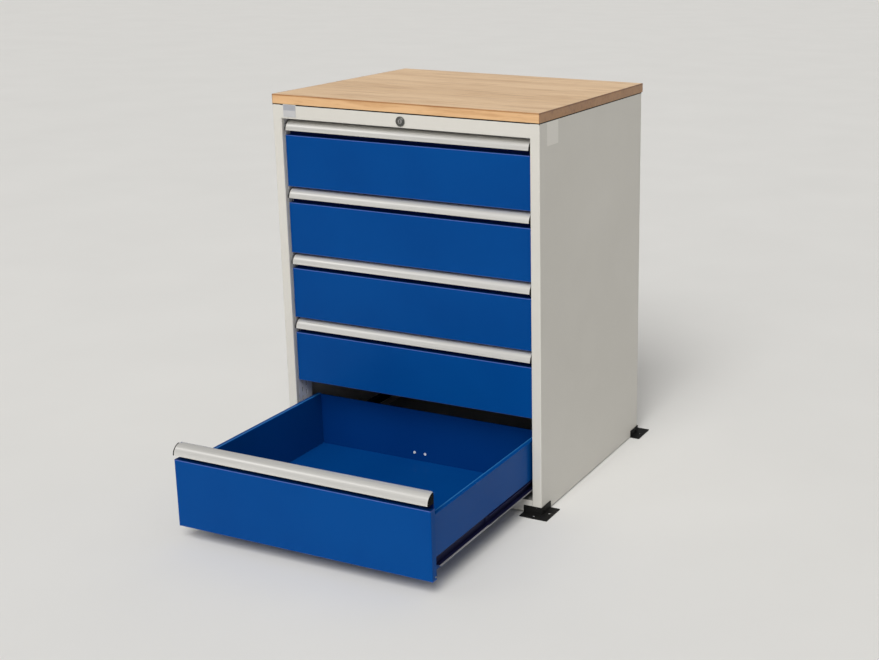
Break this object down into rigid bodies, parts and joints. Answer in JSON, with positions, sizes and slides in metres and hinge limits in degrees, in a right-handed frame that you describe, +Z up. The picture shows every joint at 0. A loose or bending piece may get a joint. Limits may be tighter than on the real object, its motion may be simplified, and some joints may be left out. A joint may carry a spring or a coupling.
{
  "type": "reagent drawer cabinet",
  "caption": "Floor-standing folded-steel cabinet with full-width telescopic drawers, bar handles, central lock and a wooden worktop.",
  "frame": {"origin": "on the floor, at the centre of the eight floor bolt holes and of the carcass", "axes": "+X to the user's right, +Y to the back, +Z up; the drawers open towards -Y"},
  "size_m": [0.826, 1.165, 1.035],
  "materials": {
    "body_paint": "light grey powder coat, fine texture",
    "drawer_paint": "gentian blue powder coat, semi-gloss",
    "zinc_sheet": "bright zinc-plated sheet steel",
    "lock_steel": "zinc-plated, machined",
    "lock_chrome": "bright nickel",
    "handle_aluminium": "satin anodised extrusion",
    "cap_plastic": "black moulded plastic",
    "foot_paint": "black powder coat",
    "screw_steel": "dark zinc-plated screws",
    "beech": "clear-lacquered beech"
  },
  "bodies": {
    "cabinet": {"side_panel_left": "body_paint", "side_panel_right": "body_paint", "back_panel": "body_paint", "top_plate": "body_paint", "top_rail": "body_paint", "bottom_tray": "body_paint", "worktop": "beech", "worktop_screws": "screw_steel", "upright_front_left": "zinc_sheet", "upright_front_right": "zinc_sheet", "upright_rear_left": "zinc_sheet", "upright_rear_right": "zinc_sheet", "cabinet_rails_left": "zinc_sheet", "cabinet_rails_right": "zinc_sheet", "foot_front_left": "foot_paint", "foot_front_right": "foot_paint", "foot_rear_left": "foot_paint", "foot_rear_right": "foot_paint", "foot_screws": "foot_paint", "lock_housing": "lock_chrome", "lock_nut": "lock_steel", "lock_brackets": "lock_steel"},
    "drawer_1": {"drawer_1_tray": "drawer_paint", "drawer_1_front": "drawer_paint", "drawer_1_handle": "handle_aluminium", "drawer_1_end_caps": "cap_plastic", "drawer_1_runners": "zinc_sheet", "drawer_1_catch": "zinc_sheet"},
    "middle_1": {"drawer_1_middle_rails": "zinc_sheet"},
    "drawer_2": {"drawer_2_tray": "drawer_paint", "drawer_2_front": "drawer_paint", "drawer_2_handle": "handle_aluminium", "drawer_2_end_caps": "cap_plastic", "drawer_2_runners": "zinc_sheet", "drawer_2_catch": "zinc_sheet"},
    "middle_2": {"drawer_2_middle_rails": "zinc_sheet"},
    "drawer_3": {"drawer_3_tray": "drawer_paint", "drawer_3_front": "drawer_paint", "drawer_3_handle": "handle_aluminium", "drawer_3_end_caps": "cap_plastic", "drawer_3_runners": "zinc_sheet", "drawer_3_catch": "zinc_sheet"},
    "middle_3": {"drawer_3_middle_rails": "zinc_sheet"},
    "drawer_4": {"drawer_4_tray": "drawer_paint", "drawer_4_front": "drawer_paint", "drawer_4_handle": "handle_aluminium", "drawer_4_end_caps": "cap_plastic", "drawer_4_runners": "zinc_sheet", "drawer_4_catch": "zinc_sheet"},
    "middle_4": {"drawer_4_middle_rails": "zinc_sheet"},
    "drawer_5": {"drawer_5_tray": "drawer_paint", "drawer_5_front": "drawer_paint", "drawer_5_handle": "handle_aluminium", "drawer_5_end_caps": "cap_plastic", "drawer_5_runners": "zinc_sheet", "drawer_5_catch": "zinc_sheet"},
    "middle_5": {"drawer_5_middle_rails": "zinc_sheet"},
    "lock_rotor": {"lock_plug": "lock_chrome", "drive_shaft": "lock_steel"},
    "bar": {"locking_bar": "lock_steel"}
  },
  "joints": [
    {"name": "drawer_1_slide", "type": "slide", "parent": "cabinet", "child": "drawer_1", "axis": [0, -1, 0], "range_m": [0, 0.56]},
    {"name": "middle_1_slide", "type": "slide", "parent": "cabinet", "child": "middle_1", "axis": [0, -1, 0], "range_m": [0, 0.28]},
    {"name": "drawer_2_slide", "type": "slide", "parent": "cabinet", "child": "drawer_2", "axis": [0, -1, 0], "range_m": [0, 0.56]},
    {"name": "middle_2_slide", "type": "slide", "parent": "cabinet", "child": "middle_2", "axis": [0, -1, 0], "range_m": [0, 0.28]},
    {"name": "drawer_3_slide", "type": "slide", "parent": "cabinet", "child": "drawer_3", "axis": [0, -1, 0], "range_m": [0, 0.56]},
    {"name": "middle_3_slide", "type": "slide", "parent": "cabinet", "child": "middle_3", "axis": [0, -1, 0], "range_m": [0, 0.28]},
    {"name": "drawer_4_slide", "type": "slide", "parent": "cabinet", "child": "drawer_4", "axis": [0, -1, 0], "range_m": [0, 0.56]},
    {"name": "middle_4_slide", "type": "slide", "parent": "cabinet", "child": "middle_4", "axis": [0, -1, 0], "range_m": [0, 0.28]},
    {"name": "drawer_5_slide", "type": "slide", "parent": "cabinet", "child": "drawer_5", "axis": [0, -1, 0], "range_m": [-0.504, 0.056]},
    {"name": "middle_5_slide", "type": "slide", "parent": "cabinet", "child": "middle_5", "axis": [0, -1, 0], "range_m": [-0.252, 0.028]},
    {"name": "lock_turn", "type": "hinge", "parent": "cabinet", "child": "lock_rotor", "pos_m": [0, -0.319, 0.9895], "axis": [0, -1, 0], "range_deg": [0, 90]},
    {"name": "bar_slide", "type": "slide", "parent": "cabinet", "child": "bar", "axis": [0, 0, -1], "range_m": [0, 0.02827]}
  ],
  "couplings": [
    {"joint": "middle_1_slide", "follows": "drawer_1_slide", "ratio": 0.5},
    {"joint": "middle_2_slide", "follows": "drawer_2_slide", "ratio": 0.5},
    {"joint": "middle_3_slide", "follows": "drawer_3_slide", "ratio": 0.5},
    {"joint": "middle_4_slide", "follows": "drawer_4_slide", "ratio": 0.5},
    {"joint": "middle_5_slide", "follows": "drawer_5_slide", "ratio": 0.5},
    {"joint": "lock_turn", "follows": "bar_slide", "rad_per_m": 55.5}
  ]
}
